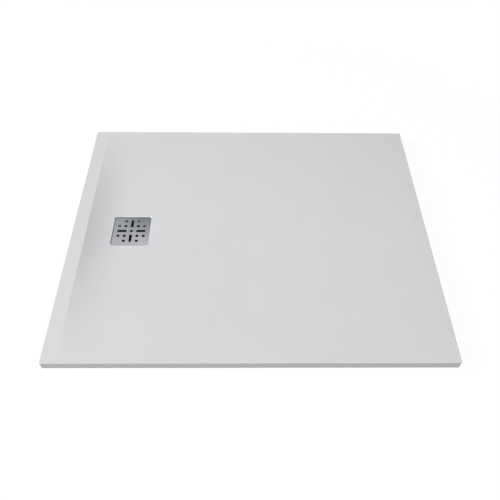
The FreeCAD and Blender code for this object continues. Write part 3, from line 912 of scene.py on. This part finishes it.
# %% Plastics, rubber and brass
BLACK_PLASTIC = (0.022, 0.022, 0.024)
BLACK_DEEP = (0.013, 0.013, 0.015)
WHITE_PLASTIC = (0.70, 0.70, 0.685)
WHITE_DEEP = (0.65, 0.65, 0.635)
RUBBER = (0.018, 0.018, 0.018)
RUBBER_BLOOM = (0.045, 0.045, 0.046)
BRASS_DULL = (0.50, 0.36, 0.15)
BRASS_BRIGHT = (0.72, 0.55, 0.28)
RUBBER_ROUGH = 0.6
BRASS_ROUGH = 0.28
TURNED_PULL = (1.0, 1.0, 6.0)


def make_plastic(name, colour, deep, gloss, shine=0.5):
    """Moulded plastic, where gloss is the least roughness and shine the strength of its reflection."""
    finish = Finish(name, Specular_IOR_Level=shine)
    sink = finish.noise(size=18 * MM)
    spark = finish.noise(size=0.45 * MM, roughness=0.6)
    shade = finish.tint(sink * 0.7 + spark * 0.3, deep, colour)
    rough = gloss + sink * 0.08 + spark * 0.12
    hollows = finish.bump(sink, depth=0.15 * MM, strength=0.5)
    skin = finish.bump(spark, depth=0.03 * MM, strength=0.4, under=hollows)
    return finish.dress(Base_Color=shade, Roughness=rough, Normal=skin)


def make_rubber():
    finish = Finish("seal_rubber", Specular_IOR_Level=0.4)
    bloom = finish.noise(size=6 * MM, detail=4.0, roughness=0.6)
    pores = finish.noise(size=0.5 * MM)
    shade = finish.tint(bloom, RUBBER, RUBBER_BLOOM)
    rough = RUBBER_ROUGH + bloom * 0.2 + pores * 0.1
    skin = finish.bump(pores, depth=0.04 * MM, strength=0.5)
    return finish.dress(Base_Color=shade, Roughness=rough, Normal=skin)


def make_brass():
    finish = Finish("insert_brass", Metallic=1.0)
    dull = finish.noise(size=2 * MM, detail=4.0)
    marks = finish.noise(size=0.3 * MM, vector=finish.stretched(TURNED_PULL))
    shade = finish.tint(dull, BRASS_DULL, BRASS_BRIGHT)
    rough = BRASS_ROUGH + dull * 0.15 + marks * 0.1
    grooves = finish.bump(marks, depth=0.02 * MM, strength=0.5)
    return finish.dress(Base_Color=shade, Roughness=rough, Normal=grooves)


finishes = {
    "black_plastic": make_plastic("drain_black_plastic", BLACK_PLASTIC, BLACK_DEEP, gloss=0.42, shine=0.25),
    "white_plastic": make_plastic("trap_white_plastic", WHITE_PLASTIC, WHITE_DEEP, gloss=0.30),
    "rubber": make_rubber(),
    "stainless": steel,
    "brass": make_brass(),
    "tray_resin": resin,
}
print("finishes:", ", ".join(finishes))

# %% [markdown]
# ## Riding on the model
# The two rebuilt pieces take the place of their measured nodes and ride on the same bodies, so the cover still
# lifts out. Every other node keeps its measured shape and only gets the finish that its slot names.

# %% Bodies, slots and finishes
for piece, node, body, slot in (
    (tray, "tray", "root", "tray_resin"),
    (cover, "drain_cover", "cover", "stainless"),
):
    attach(piece, body)
    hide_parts(node)
    piece.name = node + "_dressed"

for row in frame["record"]["subparts"]:
    node = frame["nodes"][row["node"]]
    for index in range(len(node.data.materials)):
        node.data.materials[index] = finishes[row["material_slot"]]

# %% [markdown]
# ## The floor
# The tray is shown on a seamless pale floor. The trap hangs lower than the tray stands, so the floor has a pit
# under it, just as a bathroom floor does; the tray hides it. To the camera and to reflections the floor is almost
# white by itself and keeps a faint part of the light that falls on it, which is where the soft contact shadow
# comes from. Far from the tray it is plain white, as the world is, so no line shows where the floor ends. For
# all other rays the floor is a pale matt surface.

# %% The floor with its pit
FLOOR_REACH = 9.0
FLOOR_DROP = 0.5 * MM
PIT_DEPTH = 120 * MM
PIT_HALF_WIDTH = 90 * MM
PIT_LEFT = -585 * MM
PIT_RIGHT = -310 * MM


def box_outline(left, right, half_y):
    """The four corners of a rectangle, counter-clockwise."""
    return [(left, -half_y), (right, -half_y), (right, half_y), (left, half_y)]


pit = box_outline(PIT_LEFT, PIT_RIGHT, PIT_HALF_WIDTH)
edge = box_outline(-FLOOR_REACH, FLOOR_REACH, FLOOR_REACH)
floor_rings = [flat_ring(edge, -FLOOR_DROP), flat_ring(pit, -FLOOR_DROP), flat_ring(pit, -PIT_DEPTH)]
floor = loft("floor", floor_rings, closed=False)
print("floor:", len(floor.data.polygons), "faces")

# %% The finish of the floor
WHITE = (1.0, 1.0, 1.0, 1.0)
FLOOR_GREY = (0.66, 0.66, 0.66, 1.0)
FLOOR_WHITE_NEAR = 0.90
FLOOR_WHITE_STRENGTH = 1.05
FLOOR_FADE_START = 1.2
FLOOR_FADE_END = 3.0


def white_rays(graph):
    """1 for the rays that should see a white background, and 0 for those that light the scene."""
    camera, glossy, transmitted = [
        graph.node("ShaderNodeLightPath", out="Is " + kind + " Ray") for kind in ("Camera", "Glossy", "Transmission")
    ]
    return smaller(camera + glossy + transmitted, 1.0)


def make_floor_finish():
    material = bpy.data.materials.new("pale_floor")
    material.use_nodes = True
    graph = Graph(material.node_tree)
    matt = graph.node("ShaderNodeBsdfDiffuse", None, {"Color": FLOOR_GREY})
    white = graph.node("ShaderNodeEmission", None, {"Color": WHITE, "Strength": FLOOR_WHITE_STRENGTH})
    place = graph.node("ShaderNodeTexCoord", out="Object")
    distance = graph.node("ShaderNodeVectorMath", {"operation": "LENGTH"}, {0: place}, out="Value")
    far = held((distance - FLOOR_FADE_START) / (FLOOR_FADE_END - FLOOR_FADE_START))
    share = white_rays(graph) * (FLOOR_WHITE_NEAR + far * (1 - FLOOR_WHITE_NEAR))
    mixed = graph.node("ShaderNodeMixShader", None, {0: share, 1: matt, 2: white})
    graph.node("ShaderNodeOutputMaterial", None, {"Surface": mixed})
    return material


give(make_floor_finish(), floor)

# %% [markdown]
# ## Light
# A tray photographed for a catalogue stands in a white room with one broad soft source. Here that source is on
# the left and rather low, because the slope beside the left rim turns away from it and shows clearly darker. The
# world and a soft box overhead fill in the rest evenly. The front and back faces, which the main source only
# grazes, take their tone from two weak fills.

# %% World and lamps
WORLD_GREY = (0.985, 0.992, 1.0, 1.0)
WORLD_LEVEL = 0.22
SOFT_LIGHTS = (  # name, place, target, width, height, power
    ("window_left", (-9.72, -0.45, 4.14), (0.0, 0.0, 0.0), 3.0, 3.0, 1310.0),
    ("soft_box_above", (0.45, -0.45, 2.4), (0.2, -0.2, 0.0), 1.4, 1.2, 11.3),
    ("front_fill", (-0.5, -6.0, 2.2), (0.0, 0.0, 0.0), 3.0, 1.5, 127.0),
    ("back_fill", (0.5, 6.0, 2.2), (0.0, 0.0, 0.0), 3.0, 1.5, 48.0),
)


def make_world():
    world = bpy.data.worlds.new("white_room")
    world.use_nodes = True
    graph = Graph(world.node_tree)
    fill = graph.node("ShaderNodeBackground", None, {"Color": WORLD_GREY, "Strength": WORLD_LEVEL})
    white = graph.node("ShaderNodeBackground", None, {"Color": WHITE, "Strength": 1.0})
    mixed = graph.node("ShaderNodeMixShader", None, {0: white_rays(graph), 1: fill, 2: white})
    graph.node("ShaderNodeOutputWorld", None, {"Surface": mixed})
    bpy.context.scene.world = world


def add_soft_light(name, place, target, width, height, power):
    """A rectangular soft source that faces a target."""
    data = bpy.data.lights.new(name, "AREA")
    data.shape = "RECTANGLE"
    data.size = width
    data.size_y = height
    data.energy = power
    aim = Vector(target) - Vector(place)
    turn = aim.to_track_quat("-Z", "Y").to_matrix().to_4x4()
    add_object(name, data).matrix_world = Matrix.Translation(place) @ turn


make_world()
for row in SOFT_LIGHTS:
    add_soft_light(*row)
print("lamps:", ", ".join(row[0] for row in SOFT_LIGHTS))

# %% [markdown]
# ## Camera
# The camera stands in front of the tray, a little to the left of its middle, and looks down by about 52 degrees.
# Its place was found by fitting the four upper corners of the tray in the photograph.

# %% Camera
CAMERA_PLACE = (-0.0271, -1.1867, 1.4238)
CAMERA_DOWN = 0.905417
CAMERA_YAW = 0.023585
CAMERA_ROLL = 0.020117
FOCAL_PIXELS = 538.0
FRAME_PIXELS = 500.0
SENSOR_WIDTH = 36.0


def add_camera():
    data = bpy.data.cameras.new("catalogue_camera")
    data.sensor_width = SENSOR_WIDTH
    data.lens = SENSOR_WIDTH * FOCAL_PIXELS / FRAME_PIXELS
    camera = add_object("catalogue_camera", data)
    level = math.cos(CAMERA_DOWN)
    forward = Vector((math.sin(CAMERA_YAW) * level, math.cos(CAMERA_YAW) * level, -math.sin(CAMERA_DOWN)))
    right = Vector((math.cos(CAMERA_YAW), -math.sin(CAMERA_YAW), 0.0))
    up = right.cross(forward)
    tilted_right = right * math.cos(CAMERA_ROLL) + up * math.sin(CAMERA_ROLL)
    tilted_up = up * math.cos(CAMERA_ROLL) - right * math.sin(CAMERA_ROLL)
    turn = Matrix((tilted_right, tilted_up, -forward)).transposed().to_4x4()
    camera.matrix_world = Matrix.Translation(CAMERA_PLACE) @ turn
    bpy.context.scene.camera = camera
    print("lens in mm:", round(data.lens, 2))


add_camera()
bpy.context.scene.view_settings.view_transform = "Standard"

# %% [markdown]
# ## Close
# Last, the scene is brought up to date.

# %% Close
bpy.context.view_layer.update()
